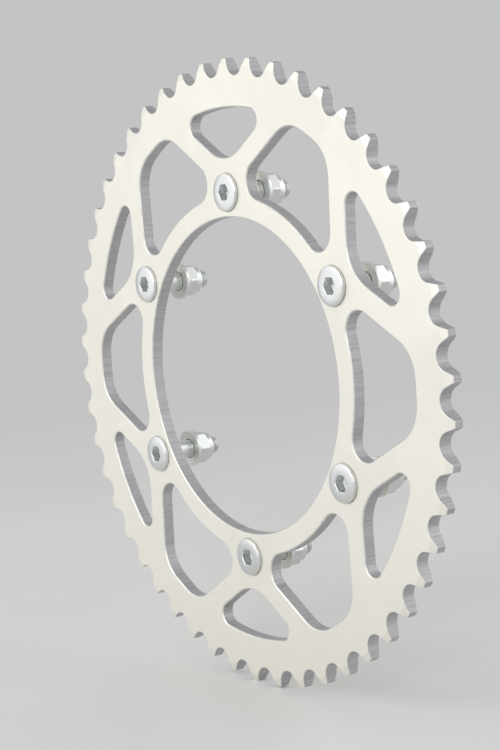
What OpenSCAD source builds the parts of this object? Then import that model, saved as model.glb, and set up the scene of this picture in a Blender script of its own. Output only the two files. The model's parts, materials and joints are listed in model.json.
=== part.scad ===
// Rear chain sprocket, with the bolts, washers and locking nuts that fix it in place.
// The plate stands upright: +Z is up and its outer face looks along -Y.
// Its back face, the seat, lies at Y = 0, and the origin is on the axis of the bore.
// The nuts sit where they clamp a mounting flange, so the flange's room is open behind the plate.

/* [Chain] */
// Number of teeth
teeth = 50; // [46:1:60]
// Pitch of the chain
chain_pitch = 15.875; // [15:0.005:19.05]
// Diameter of the chain's rollers
roller_d = 10.16; // [9:0.01:11.5]

/* [Teeth] */
// Room between a roller and the bottom of its gap
roller_clear = 0.05; // [0:0.01:0.2]
// Half of the angle over which a gap wraps round its roller
seat_half_angle = 61; // [56:0.5:66]
// Height of the tooth tips above the pitch circle
tip_height = 1.8; // [1:0.1:2.4]
// Turn of the first gap from the top bolt, in degrees
gap_turn = 2.4; // [0:0.1:7.2]
// Depth of the bevel on each side of the teeth, along the axis
bevel_depth = 0.9; // [0.3:0.1:1.5]
// Height of that bevel, along the tooth
bevel_height = 3.2; // [1:0.1:5]

/* [Plate] */
// Thickness of the plate
plate_t = 5.8; // [5:0.1:8]
// Diameter of the centre bore
bore_d = 130; // [110:0.5:140]
// Chamfer on both edges of the centre bore
bore_chamfer = 0.5; // [0.2:0.1:1]

/* [Cut-outs] */
// Width of the toothed ring, from the bottom of the gaps to the cut-outs
rim_w = 12.5; // [8:0.1:16]
// Width of the inner ring, from the centre bore to the large cut-outs
inner_ring_w = 9; // [6:0.1:12]
// Width of the slanted spokes
spoke_w = 9.5; // [6:0.1:14]
// Tilt of a spoke from the tangent at its bolt
spoke_angle = 32; // [26:0.5:36]
// How far outside the bolt circle the centre lines of two spokes cross
spoke_rise = 4.9; // [3:0.1:8]
// Fillet at the outer corners of the small cut-outs
small_corner_r = 4.6; // [2:0.1:7]
// Fillet at the point of the small cut-outs
small_point_r = 19; // [4:0.1:24]
// Fillet at the inner corners of the large cut-outs
large_inner_r = 7.6; // [3:0.1:10]
// Fillet at the outer corners of the large cut-outs
large_outer_r = 15.5; // [4:0.1:18]

/* [Bolts] */
// Number of bolts
bolts = 6; // [5:1:7]
// Distance from the edge of the centre bore to the bolt circle
bolt_inset = 10; // [9:0.1:14]
// Nominal diameter of the thread
thread_d = 8; // [6:0.5:10]
// Pitch of the thread
thread_pitch = 1.25; // [0.75:0.05:1.5]
// Diameter of the countersunk head
head_d = 15.6; // [14:0.1:17]
// Height of the head above the plate
head_rise = 1.7; // [0.8:0.1:3]
// Chamfer round the top of the head
head_chamfer = 0.8; // [0.2:0.1:1.2]
// Hex socket in the head, across its flats
socket_af = 6; // [4:0.5:7]
// Depth of the hex socket
socket_depth = 3.8; // [2:0.1:5]
// How much wider the fitted shoulder in the plate is than the thread
shoulder_extra = 0.4; // [0.3:0.05:1]
// How far the shoulder stands out behind the plate
shoulder_past = 0.3; // [0.1:0.05:0.45]
// Clearance of the shoulder in its hole, on the radius
hole_clear = 0.05; // [0.02:0.01:0.3]
// Clearance between the head's cone and its countersink, square to the cone
cone_clear = 0.02; // [0:0.01:0.1]
// Slack of the plain shank under the nominal thread, on the radius
shank_slack = 0.05; // [0.02:0.01:0.2]
// Thickness of the flange that the bolts clamp
flange_grip = 10; // [6:0.5:16]
// How far the thread runs into the flange
thread_lead = 1; // [0.5:0.1:3]
// Length of the thread that stands out of the nut
thread_past = 4.6; // [2:0.1:10]

/* [Washers and nuts] */
// Outer diameter of a washer
washer_d = 16; // [14:0.5:18]
// Clearance of a washer round the thread, on the radius
washer_clear = 0.2; // [0.1:0.05:0.5]
// Thickness of a washer
washer_t = 1.6; // [1:0.1:2.5]
// Width of a nut across its flats
nut_af = 13; // [12.5:0.1:15]
// Height of a nut with its collar
nut_h = 8; // [7:0.1:10]
// Height of the round collar that holds the insert
collar_h = 2.6; // [2:0.1:3]
// Wall of the collar
collar_wall = 0.8; // [0.5:0.05:1]
// Clearance of a nut on the thread, on the radius
nut_clear = 0.05; // [0.02:0.01:0.1]
// Height of the nylon insert
insert_h = 1.9; // [1.2:0.1:2.4]
// Clearance of the insert on the thread, on the radius
insert_clear = 0.03; // [0.01:0.01:0.1]
// Gap between the insert and its groove
insert_gap = 0.02; // [0:0.01:0.1]

/* [Hidden] */
$fn = 96;
// How far a cut runs past the face it leaves
cut_past = 1;
// What a metric thread's pitch diameter lies under its nominal one, in pitches
thread_depth_share = 0.6495;
// Slope of the chamfer on a nut's corners
nut_chamfer_angle = 30;
// The most of its wall that a fillet takes
fillet_share = 0.9;
// How far a fillet laps over what it touches, so that rounding leaves no sliver there
fillet_lap = 0.001;

// Circles of the teeth
pitch_r = chain_pitch / (2 * sin(180 / teeth));
seat_r = roller_d / 2 + roller_clear;
root_r = pitch_r - seat_r;
tip_r = pitch_r + tip_height;

// Circles of the plate
bore_r = bore_d / 2;
bolt_r = bore_r + bolt_inset;
ring_r = bore_r + inner_ring_w;
window_r = root_r - rim_w;
bolt_step = 360 / bolts;
half_step = bolt_step / 2;

// Radii of a bolt: the thread is drawn as a plain cylinder at its pitch diameter
thread_r = (thread_d - thread_depth_share * thread_pitch) / 2;
shank_r = thread_d / 2 - shank_slack;
shoulder_r = (thread_d + shoulder_extra) / 2;
hole_r = shoulder_r + hole_clear;
head_r = head_d / 2;
cone_h = head_r - shoulder_r;

// Heights from the seat, positive towards the outer face
washer_top = -flange_grip;
nut_top = washer_top - washer_t;
nut_end = nut_top - nut_h;
bolt_end = nut_end - thread_past;
bolt_tip_r = thread_r - thread_pitch / 2;

// Radii of a washer and a nut
washer_hole_r = thread_d / 2 + washer_clear;
nut_r = nut_af / 2;
nut_corner_r = nut_r / cos(30);
nut_bore_r = thread_r + nut_clear;
nut_chamfer_h = (nut_corner_r - nut_r) * tan(nut_chamfer_angle);
collar_r = nut_r - collar_wall / 2;
groove_r = collar_r - collar_wall;
groove_end = nut_end + collar_wall / 2;
groove_top = groove_end + insert_h + insert_gap;
lip_r = groove_r - collar_wall;

// Sides of the cut-outs, in the frame of one bolt with its radius along +Y
side = [cos(spoke_angle), sin(spoke_angle)];
side_normal = [-sin(spoke_angle), cos(spoke_angle)];
spoke_half = spoke_w / 2 / cos(spoke_angle);
small_point = [0, bolt_r + spoke_rise + spoke_half];
small_h = window_r - small_point.y;
small_fits = small_h > 2 * small_corner_r;

// A point turned about the origin
function turned(p, a) = [p.x * cos(a) - p.y * sin(a), p.x * sin(a) + p.y * cos(a)];

// A point mirrored across the Y axis
function flipped(p) = [-p.x, p.y];

// The unit vector along p
function unit(p) = p / norm(p);

// How far along d, from p, a line meets the circle of radius r about the origin
function reach(p, d, r) = -(p * d) + sqrt((p * d) ^ 2 - p * p + r ^ 2);

// The centre of a fillet that touches the line through p along d, on the side of n, and lies on radius r
function fillet_centre(p, d, n, fillet, r) =
    let (q = p + fillet * n)
    q + reach(q, d, r) * d;

// An outline and its mirror image as one closed list of points
function both_halves(points) =
    concat(points, [for (i = [len(points) - 1:-1:0]) flipped(points[i])]);

// Stands what lies in XY up, with its outer face towards -Y
module upright() {
    rotate([90, 0, 0]) children();
}

// Places something at bolt k, counted clockwise from the top
module at_bolt(k) {
    upright() rotate(-bolt_step * (k - 1)) translate([0, bolt_r, 0]) children();
}

// A circle and its mirror image across the Y axis
module twin_circles(centre, r) {
    translate(centre) circle(r);
    translate(flipped(centre)) circle(r);
}

// A gap between two teeth, with its roller straight up
module tooth_gap() {
    start = [seat_r * sin(seat_half_angle), pitch_r - seat_r * cos(seat_half_angle)];
    flank = [cos(seat_half_angle), sin(seat_half_angle)];
    end = start + flank * (tip_r + cut_past - start.y) / flank.y;
    translate([0, pitch_r]) circle(seat_r);
    polygon(both_halves([start, end]));
}

// The small three-sided cut-out outside a bolt
module small_cut_out() {
    corner_r = min(small_corner_r, fillet_share * small_h / (1 + 1 / side.x));
    corner = fillet_centre(small_point, side, side_normal, corner_r, window_r - corner_r + fillet_lap);
    corner_side = corner - (corner_r - fillet_lap) * side_normal;
    corner_out = unit(corner) * window_r;
    point_r = min(small_point_r, fillet_share * norm(corner_side - small_point) / tan(spoke_angle));
    point = small_point + [0, point_r / side.x];
    point_side = point - (point_r - fillet_lap) * side_normal;
    intersection() {
        circle(window_r);
        union() {
            twin_circles(corner, corner_r);
            translate(point) circle(point_r);
            polygon(both_halves([point_side, corner_side, corner_out, corner_out + [0, corner_r]]));
        }
    }
}

// The large four-sided cut-out between two bolts, with its own middle along +Y
module large_cut_out() {
    start = turned([0, bolt_r + spoke_rise - spoke_half], half_step);
    along = turned(side, half_step);
    inward = [along.y, -along.x];
    room = fillet_share * (window_r - ring_r) / 2;
    inner_r = min(large_inner_r, room);
    outer_r = min(large_outer_r, room);
    inner = fillet_centre(start, along, inward, inner_r, ring_r + inner_r - fillet_lap);
    outer = fillet_centre(start, along, inward, outer_r, window_r - outer_r + fillet_lap);
    inner_in = unit(inner) * ring_r;
    outer_out = unit(outer) * window_r;
    difference() {
        intersection() {
            circle(window_r);
            union() {
                twin_circles(inner, inner_r);
                twin_circles(outer, outer_r);
                polygon(both_halves([
                    inner_in - [0, inner_r],
                    inner_in,
                    inner - (inner_r - fillet_lap) * inward,
                    outer - (outer_r - fillet_lap) * inward,
                    outer_out,
                    outer_out + [0, outer_r]
                ]));
            }
        }
        circle(ring_r);
    }
}

// Everything that is cut straight through the plate
module through_cuts() {
    for (i = [0:teeth - 1]) rotate(360 / teeth * i + gap_turn) tooth_gap();
    for (k = [0:bolts - 1]) rotate(bolt_step * k) {
        if (small_fits) small_cut_out();
        rotate(half_step) large_cut_out();
        translate([0, bolt_r]) circle(hole_r);
    }
}

// Half section of the plate: the centre bore with its chamfers, and the bevelled tooth tips
module plate_section() {
    polygon([
        [bore_r, bore_chamfer],
        [bore_r + bore_chamfer, 0],
        [tip_r - bevel_height, 0],
        [tip_r, bevel_depth],
        [tip_r, plate_t - bevel_depth],
        [tip_r - bevel_height, plate_t],
        [bore_r + bore_chamfer, plate_t],
        [bore_r, plate_t - bore_chamfer]
    ]);
}

// Countersink for the head of a bolt, at the origin
module countersink() {
    wider = cone_clear * sqrt(2);
    deeper = head_r + wider - hole_r;
    h = deeper + cut_past;
    translate([0, 0, plate_t - deeper]) cylinder(r1 = hole_r, r2 = hole_r + h, h = h);
}

module sprocket() {
    color([0.93, 0.92, 0.87])
    upright()
    difference() {
        rotate_extrude() plate_section();
        translate([0, 0, -cut_past]) linear_extrude(plate_t + 2 * cut_past) through_cuts();
        for (k = [0:bolts - 1]) rotate(bolt_step * k) translate([0, bolt_r, 0]) countersink();
    }
}

module bolt(k) {
    head_top = plate_t + head_rise;
    color([0.80, 0.81, 0.83])
    at_bolt(k)
    difference() {
        rotate_extrude() polygon([
            [0, head_top],
            [head_r - head_chamfer, head_top],
            [head_r, head_top - head_chamfer],
            [head_r, plate_t],
            [shoulder_r, plate_t - cone_h],
            [shoulder_r, -shoulder_past],
            [shank_r, -shoulder_past],
            [shank_r, thread_lead - flange_grip],
            [thread_r, thread_lead - flange_grip],
            [thread_r, bolt_end + thread_r - bolt_tip_r],
            [bolt_tip_r, bolt_end],
            [0, bolt_end]
        ]);
        translate([0, 0, head_top - socket_depth])
            cylinder(r = socket_af / 2 / cos(30), h = socket_depth + cut_past, $fn = 6);
    }
}

module washer(k) {
    color([0.76, 0.77, 0.79])
    at_bolt(k)
    rotate_extrude()
        translate([washer_hole_r, nut_top]) square([washer_d / 2 - washer_hole_r, washer_t]);
}

module nut(k) {
    hex_end = nut_end + collar_h;
    color([0.72, 0.73, 0.76])
    at_bolt(k)
    difference() {
        union() {
            intersection() {
                translate([0, 0, hex_end]) cylinder(r = nut_corner_r, h = nut_top - hex_end, $fn = 6);
                rotate_extrude() polygon([
                    [0, nut_top],
                    [nut_r, nut_top],
                    [nut_corner_r, nut_top - nut_chamfer_h],
                    [nut_corner_r, hex_end + nut_chamfer_h],
                    [nut_r, hex_end],
                    [0, hex_end]
                ]);
            }
            translate([0, 0, nut_end]) cylinder(r = collar_r, h = collar_h + nut_chamfer_h);
        }
        rotate_extrude() polygon([
            [0, nut_top + cut_past],
            [nut_bore_r, nut_top + cut_past],
            [nut_bore_r, groove_top],
            [groove_r, groove_top],
            [groove_r, groove_end],
            [lip_r, groove_end],
            [lip_r, nut_end - cut_past],
            [0, nut_end - cut_past]
        ]);
    }
}

module nut_insert(k) {
    color([0.90, 0.89, 0.82])
    at_bolt(k)
    rotate_extrude()
        translate([thread_r + insert_clear, groove_end])
            square([groove_r - insert_gap - thread_r - insert_clear, insert_h]);
}

sprocket();
for (k = [1:bolts]) {
    bolt(k);
    washer(k);
    nut(k);
    nut_insert(k);
}
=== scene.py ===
"""A rear chain sprocket with its bolts, washers and locking nuts, laid out as an add-on and run as a script.

Lengths are metres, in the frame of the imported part: +Z is up, the outer face of the plate looks along -Y
and its back face lies at Y = 0. Shapes are worked out in plate axes, u to the right, v up and w towards the
outer side, and are stood up when they become a mesh.
"""

import json
import math
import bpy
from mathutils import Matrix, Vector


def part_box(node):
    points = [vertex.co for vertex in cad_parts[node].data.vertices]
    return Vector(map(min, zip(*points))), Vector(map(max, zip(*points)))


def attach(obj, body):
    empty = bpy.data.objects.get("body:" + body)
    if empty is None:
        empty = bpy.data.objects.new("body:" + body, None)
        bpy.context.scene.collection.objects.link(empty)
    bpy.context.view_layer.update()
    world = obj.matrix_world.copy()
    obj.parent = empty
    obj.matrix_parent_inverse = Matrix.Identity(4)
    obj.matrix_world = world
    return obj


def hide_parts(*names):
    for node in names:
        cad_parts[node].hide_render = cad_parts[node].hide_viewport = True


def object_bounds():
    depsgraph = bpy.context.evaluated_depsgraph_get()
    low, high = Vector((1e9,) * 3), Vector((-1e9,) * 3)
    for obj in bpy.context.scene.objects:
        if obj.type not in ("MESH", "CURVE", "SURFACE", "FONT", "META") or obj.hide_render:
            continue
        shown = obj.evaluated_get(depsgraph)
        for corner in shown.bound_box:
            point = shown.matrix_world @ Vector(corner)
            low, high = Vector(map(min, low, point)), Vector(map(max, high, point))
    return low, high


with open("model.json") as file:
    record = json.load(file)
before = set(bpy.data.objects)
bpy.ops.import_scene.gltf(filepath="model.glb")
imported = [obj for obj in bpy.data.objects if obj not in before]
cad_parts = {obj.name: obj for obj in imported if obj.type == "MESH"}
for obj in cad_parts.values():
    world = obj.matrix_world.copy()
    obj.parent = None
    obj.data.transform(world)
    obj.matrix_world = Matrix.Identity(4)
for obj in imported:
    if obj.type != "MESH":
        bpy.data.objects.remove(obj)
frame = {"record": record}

from types import SimpleNamespace

import bpy
import numpy as np
from mathutils import Quaternion, Vector, geometry

bl_info = {
    "name": "Rear Sprocket",
    "version": (1, 0, 0),
    "blender": (4, 5, 0),
    "location": "3D View > Sidebar > Sprocket",
    "description": "Builds a rear chain sprocket with its fasteners, finishes and a small studio",
    "category": "Add Mesh",
}

CAD_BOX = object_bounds()
MILLIMETRE = 0.001
TURN = 2 * math.pi
ORIGIN = np.zeros(2)
RIGHT = np.array([1.0, 0.0])
UP = np.array([0.0, 1.0])
DOWN = -UP
OUTWARD = np.array([0.0, 0.0, 1.0])

# The two faces of the plate, and the open side of an arc
FRONT, BACK = 1, -1
OUTSIDE, INSIDE = 1, -1

# Columns of a turned piece, and the distance within which two points are one
COLUMNS = 96
SAME_POINT = 1e-9

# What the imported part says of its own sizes
MOUNTS = {mount["name"]: mount["dims"] for mount in frame["record"]["mounts"]}
BORE_MOUNT, BOLT_MOUNT = MOUNTS["hub_bore"], MOUNTS["hub_bolts"]
PLATE_LOW, PLATE_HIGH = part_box("sprocket")
BOLT_LOW, BOLT_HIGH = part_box("bolt_1")
WASHER_LOW, WASHER_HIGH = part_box("washer_1")
NUT_LOW, NUT_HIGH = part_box("nut_1")
RING_LOW, RING_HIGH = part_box("nut_insert_1")

# Place and width of each soft light
LIGHTS = {
    "key": ((-1.0, -1.3, 0.4), 1.7),
    "fill": ((-0.2, -1.35, 0.75), 1.0),
    "edge": ((0.95, -1.3, 0.5), 0.8),
    "back": ((0.6, 1.3, 0.4), 1.7),
}


def length(name, description, default):
    """A length in metres."""
    return bpy.props.FloatProperty(
        name=name,
        description=description,
        default=default,
        min=0.0,
        precision=5,
        unit="LENGTH",
        subtype="DISTANCE",
    )


def angle(name, description, degrees):
    """An angle, given in degrees and kept in radians."""
    return bpy.props.FloatProperty(
        name=name, description=description, default=math.radians(degrees), unit="ROTATION", subtype="ANGLE"
    )


def colour(name, description, default):
    """A colour in linear light."""
    return bpy.props.FloatVectorProperty(
        name=name, description=description, default=default, size=3, min=0.0, max=1.0, subtype="COLOR"
    )


def share(name, description, default):
    """A number from 0 to 1."""
    return bpy.props.FloatProperty(
        name=name, description=description, default=default, min=0.0, max=1.0, subtype="FACTOR"
    )


def power(name, description, watts):
    """Power of a light."""
    return bpy.props.FloatProperty(name=name, description=description, default=watts, unit="POWER")


class PlateSizes(bpy.types.PropertyGroup):
    """Sizes of the toothed plate"""

    teeth: bpy.props.IntProperty(name="Teeth", description="Number of teeth", default=50, min=46, max=60)
    chain_pitch: length("Chain pitch", "Distance between two rollers of the chain", 0.015875)
    roller_diameter: length("Roller diameter", "Diameter of the chain's rollers", 0.01016)
    roller_clearance: length("Roller clearance", "Room under a roller at the bottom of its gap", 0.00005)
    seat_half_angle: angle("Seat half angle", "Half of the angle that a gap wraps round its roller", 61)
    tip_height: length("Tip height", "Height of the tips above the pitch circle", 0.0018)
    tip_corner: length("Tip corner", "Rounding of the corners of a tip", 0.0005)
    gap_turn: angle("Gap turn", "Turn of the first gap from the top bolt", 2.4)
    bevel_depth: length("Bevel depth", "Depth of the bevel on each side of the teeth", 0.0009)
    bevel_height: length("Bevel height", "Height of that bevel, along the tooth", 0.0032)
    thickness: length("Thickness", "Thickness of the plate", PLATE_HIGH.y - PLATE_LOW.y)
    bore_radius: length("Bore radius", "Radius of the centre bore", BORE_MOUNT["r_mm"] * MILLIMETRE)
    rim_width: length("Rim width", "From the bottom of the gaps to the cut-outs", 0.0125)
    inner_ring_width: length("Inner ring width", "From the centre bore to the large cut-outs", 0.009)
    spoke_width: length("Spoke width", "Width of the slanted spokes", 0.0095)
    spoke_angle: angle("Spoke angle", "Tilt of a spoke from the tangent at its bolt", 32)
    spoke_rise: length("Spoke rise", "How far outside the bolt circle two spokes cross", 0.0049)
    small_corner: length("Small corner", "Fillet at the outer corners of the small cut-outs", 0.0046)
    small_point: length("Small point", "Fillet at the point of the small cut-outs", 0.019)
    large_inner: length("Large inner", "Fillet at the inner corners of the large cut-outs", 0.0076)
    large_outer: length("Large outer", "Fillet at the outer corners of the large cut-outs", 0.0155)
    tooth_edge: length("Tooth edge", "Broken edge along the teeth", 0.0003)
    window_edge: length("Window edge", "Chamfer along the cut-outs", 0.0006)
    bore_edge: length("Bore edge", "Chamfer along the centre bore", 0.0005)
    hole_edge: length("Hole edge", "Broken edge at the bolt holes", 0.0001)


class BoltSizes(bpy.types.PropertyGroup):
    """Sizes of the countersunk bolts"""

    count: bpy.props.IntProperty(
        name="Bolts", description="Number of bolts", default=BOLT_MOUNT["count"], min=5, max=7
    )
    circle: length("Bolt circle", "Radius of the bolt circle", BOLT_MOUNT["pcd_mm"] / 2 * MILLIMETRE)
    head_radius: length("Head radius", "Radius of the head", (BOLT_HIGH.x - BOLT_LOW.x) / 2)
    head_top: length("Head top", "Height of the head above the seat", -BOLT_LOW.y)
    head_round: length("Head rounding", "Rounding round the top of the head", 0.0008)
    head_crown: length("Head crown", "Fall of the head's top from its socket to its rim", 0.0004)
    cone_slack: length("Cone slack", "How much wider the countersink is than the head", 0.00003)
    socket_width: length("Socket width", "Hex socket across its flats", 0.006)
    socket_depth: length("Socket depth", "Depth of the hex socket", 0.0038)
    socket_mouth: length("Socket mouth", "Lead-in at the mouth of the socket", 0.0003)
    drill_point: length("Drill point", "Depth of the cone at the bottom of the socket", 0.0007)
    hole_radius: length("Hole radius", "Radius of the hole in the plate", 0.00425)
    shoulder_radius: length("Shoulder radius", "Radius of the fitted shoulder", 0.0042)
    shoulder_past: length("Shoulder past", "How far the shoulder stands out behind the plate", 0.0003)
    shank_radius: length("Shank radius", "Radius of the plain shank", BOLT_MOUNT["stud_r_mm"] * MILLIMETRE)
    thread_start: length("Thread start", "Where the thread begins, behind the seat", 0.009)
    thread_radius: length("Thread radius", "Radius of the thread's crests", 0.00395)
    thread_pitch: length("Thread pitch", "Pitch of the thread", 0.00125)
    end: length("Bolt end", "Where the bolt ends, behind the seat", BOLT_HIGH.y)
    end_chamfer: length("End chamfer", "Chamfer at the end of the thread", 0.0009)
    edge: length("Bolt edge", "Rounding of the other edges", 0.00012)


class NutSizes(bpy.types.PropertyGroup):
    """Sizes of the washers, the locking nuts and their nylon rings"""

    washer_radius: length("Washer radius", "Outer radius of a washer", (WASHER_HIGH.x - WASHER_LOW.x) / 2)
    washer_hole: length("Washer hole", "Radius of a washer's hole", 0.0042)
    washer_near: length("Washer near side", "Side of a washer towards the plate", WASHER_LOW.y)
    washer_far: length("Washer far side", "Side of a washer towards its nut", WASHER_HIGH.y)
    washer_edge: length("Washer edge", "Rounding of a stamped washer's edges", 0.0003)
    flats: length("Nut flats", "Width of a nut across its flats", NUT_HIGH.z - NUT_LOW.z)
    near: length("Nut near side", "Side of a nut towards its washer", NUT_LOW.y)
    far: length("Nut far side", "End of a nut's collar", NUT_HIGH.y)
    chamfer_angle: angle("Nut chamfer", "Slope of the chamfer on a nut's corners", 30)
    chamfer_inset: length("Chamfer inset", "How far the chamfer's circle lies inside the flats", 0.0003)
    mouth_radius: length("Nut mouth", "Radius of the countersink of the thread", 0.0044)
    collar_height: length("Collar height", "Height of the round collar", 0.0026)
    collar_wall: length("Collar wall", "Wall of the collar", 0.0008)
    collar_round: length("Collar rounding", "Rounding of the rolled end of the collar", 0.0008)
    thread_slack: length("Thread slack", "Room between the nut's thread and the bolt's", 0.00006)
    ring_near: length("Ring near side", "Inner side of the nylon ring", RING_LOW.y)
    ring_far: length("Ring far side", "Side of the nylon ring that shows", RING_HIGH.y)
    ring_radius: length("Ring radius", "Outer radius of the nylon ring", (RING_HIGH.x - RING_LOW.x) / 2)
    ring_slack: length("Ring slack", "Room between the ring and its groove", 0.00002)
    edge: length("Nut edge", "Rounding of a nut's edges", 0.00015)


class FinishSettings(bpy.types.PropertyGroup):
    """Colours and gloss of the finishes"""

    face: colour("Plate face", "Pale anodised aluminium", (0.89, 0.87, 0.795))
    # The cut walls' grey is painted shade: a darker, bluish grey in place of the shade and dark reflections
    # on walls that face sideways.
    wall: colour("Cut walls", "Milled walls of the cut-outs and the gaps", (0.41, 0.415, 0.43))
    bright: colour("Bright edge", "Burnished metal on the edges", (0.93, 0.92, 0.88))
    zinc: colour("Zinc plate", "Bright zinc plate", (0.72, 0.74, 0.755))
    zinc_tint: colour("Zinc tint", "Faint tint of the plate's passivation", (0.71, 0.73, 0.695))
    nylon: colour("Nylon", "Natural nylon", (0.78, 0.76, 0.66))
    floor: colour("Floor", "Pale studio floor", (0.74, 0.74, 0.735))
    plate_roughness: share("Plate roughness", "Least roughness of the plate's faces", 0.42)
    zinc_roughness: share("Zinc roughness", "Least roughness of the zinc plate", 0.24)


class StudioSettings(bpy.types.PropertyGroup):
    """Camera and lights"""

    azimuth: angle("Azimuth", "Camera's turn to the right of the outer face", 54.6)
    elevation: angle("Elevation", "Camera's height above the horizon", 6.1)
    roll: angle("Roll", "Turn of the camera about its line of sight", -3.7)
    distance: length("Distance", "From the camera to the middle of the plate", 0.684)
    lens: bpy.props.FloatProperty(
        name="Lens", description="Focal length on a 36 mm sensor", default=80.0, unit="CAMERA"
    )
    backdrop: share("Backdrop", "Brightness of the even backdrop all round", 0.55)
    key_power: power("Key", "Large soft light", 6.5)
    fill_power: power("Fill", "Soft light in front", 6.0)
    edge_power: power("Edge", "Small light for the edges", 4.0)
    back_power: power("Back", "Soft light behind", 10.0)


def unit(vectors):
    """Vectors along the last axis, each made one long."""
    return vectors / np.linalg.norm(vectors, axis=-1, keepdims=True)


def directions(angles):
    """Unit vectors (cos a, sin a)."""
    return np.stack([np.cos(angles), np.sin(angles)], axis=-1)


def columns(count=COLUMNS):
    """Angles of the columns of a turned piece, spread evenly over a whole turn."""
    return np.linspace(0, TURN, count, endpoint=False)


def heading(vector):
    """Angle of a flat vector from the first axis."""
    return math.atan2(vector[1], vector[0])


def short_way(start, end):
    """Angle from one heading to another, the short way round."""
    return (end - start + math.pi) % TURN - math.pi


def turned(vector, by):
    """A flat vector turned anticlockwise."""
    x, y = vector
    return np.array([x * math.cos(by) - y * math.sin(by), x * math.sin(by) + y * math.cos(by)])


def left_of(vector):
    """A flat vector turned anticlockwise by a quarter."""
    return np.array([-vector[1], vector[0]])


def reach(point, along, radius):
    """How far from point, along a unit vector, a line meets the circle of that radius about the origin."""
    middle = point @ along
    return math.sqrt(middle**2 - point @ point + radius**2) - middle


def fillet_centre(point, along, side, fillet, radius):
    """Centre of a fillet that touches the line through point on the given side and lies on a radius."""
    shifted = point + fillet * side
    return shifted + reach(shifted, along, radius) * along


def arc(centre, radius, start, end, steps, open_side):
    """Points centre + radius (cos a, sin a), with a going the short way from one heading to the other.

    The second array holds the unit normals to the open side, which lies outside or inside the arc.
    """
    first = heading(start)
    spread = directions(first + np.linspace(0, short_way(first, heading(end)), steps))
    return centre + radius * spread, open_side * spread


def circle(radius, steps, open_side):
    """A whole circle about the origin as a closed outline."""
    spread = directions(columns(steps))
    return radius * spread, open_side * spread


def joined(*parts):
    """Parts of several arrays each, such as points and normals, put end to end.

    In an outline made of arcs, the straight stretches are the steps from one arc to the next.
    """
    return tuple(np.concatenate(arrays) for arrays in zip(*parts))


def both_sides(half):
    """Half an outline with its mirror image before it."""
    flip = np.array([-1, 1])
    return tuple(np.concatenate([part[::-1] * flip, part]) for part in half)


def copies(outline, angles):
    """An outline turned about the origin by each angle, as arrays of copies by points."""
    cos, sin = np.cos(angles), np.sin(angles)
    matrices = np.stack([np.stack([cos, sin], axis=-1), np.stack([-sin, cos], axis=-1)], axis=1)
    return tuple(part[None] @ matrices for part in outline)


def distinct(outline):
    """A closed outline without the points that repeat the one before."""
    points, normals = outline
    keep = np.linalg.norm(points - np.roll(points, 1, axis=0), axis=1) > SAME_POINT
    return points[keep], normals[keep]


def circles(plate):
    """Radii that follow from the chain and the widths of the plate's rings.

    The pitch circle's radius is the chain's pitch / (2 sin(pi / teeth)).
    """
    pitch = plate.chain_pitch / (2 * math.sin(math.pi / plate.teeth))
    seat = plate.roller_diameter / 2 + plate.roller_clearance
    tip = pitch + plate.tip_height
    return SimpleNamespace(
        pitch=pitch,
        seat=seat,
        tip=tip,
        bevel=tip - plate.bevel_height,
        window=pitch - seat - plate.rim_width,
        ring=plate.bore_radius + plate.inner_ring_width,
    )


def tooth_outline(plate):
    """A gap is an arc round its roller, a straight flank and a round tip corner, mirrored and repeated.

    The one point on the flank is where the bevel's circle meets the edge of the face.
    """
    c = circles(plate)
    roller = c.pitch * UP
    solid = turned(DOWN, plate.seat_half_angle)
    flank = left_of(solid)
    start = roller + c.seat * solid
    crease = start + reach(start + plate.tooth_edge * solid, flank, c.bevel) * flank
    corner = fillet_centre(start, flank, solid, plate.tip_corner, c.tip - plate.tip_corner)
    middle_of_tip = turned(UP, -math.pi / plate.teeth)
    half = joined(
        arc(roller, c.seat, DOWN, solid, steps=11, open_side=INSIDE),
        (crease[None], -solid[None]),
        arc(corner, plate.tip_corner, -solid, corner, steps=6, open_side=OUTSIDE),
        arc(ORIGIN, c.tip, corner, middle_of_tip, steps=3, open_side=OUTSIDE),
    )
    angles = plate.gap_turn - TURN / plate.teeth * np.arange(plate.teeth)
    return distinct(tuple(part.reshape(-1, 2) for part in copies(both_sides(half), angles)))


def small_cut_out(plate, bolts):
    """Two slanted sides from a round point, round corners and an arc under the rim."""
    c = circles(plate)
    side = turned(RIGHT, plate.spoke_angle)
    normal = turned(UP, plate.spoke_angle)
    slant = math.cos(plate.spoke_angle)
    point = (bolts.circle + plate.spoke_rise + plate.spoke_width / 2 / slant) * UP
    inner = point + plate.small_point / slant * UP
    corner = fillet_centre(point, side, normal, plate.small_corner, c.window - plate.small_corner)
    half = joined(
        arc(inner, plate.small_point, DOWN, -normal, steps=9, open_side=INSIDE),
        arc(corner, plate.small_corner, -normal, corner, steps=15, open_side=INSIDE),
        arc(ORIGIN, c.window, corner, UP, steps=9, open_side=INSIDE),
    )
    return both_sides(half)


def large_cut_out(plate, bolts):
    """An arc round the inner ring, two slanted sides with round corners and an arc under the rim."""
    c = circles(plate)
    half_step = math.pi / bolts.count
    slant = math.cos(plate.spoke_angle)
    start = turned((bolts.circle + plate.spoke_rise - plate.spoke_width / 2 / slant) * UP, half_step)
    along = turned(RIGHT, plate.spoke_angle + half_step)
    inward = -left_of(along)
    inner = fillet_centre(start, along, inward, plate.large_inner, c.ring + plate.large_inner)
    outer = fillet_centre(start, along, inward, plate.large_outer, c.window - plate.large_outer)
    half = joined(
        arc(ORIGIN, c.ring, UP, inner, steps=9, open_side=OUTSIDE),
        arc(inner, plate.large_inner, -inner, -inward, steps=15, open_side=INSIDE),
        arc(outer, plate.large_outer, -inward, outer, steps=13, open_side=INSIDE),
        arc(ORIGIN, c.window, outer, UP, steps=9, open_side=INSIDE),
    )
    return both_sides(half)


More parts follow.
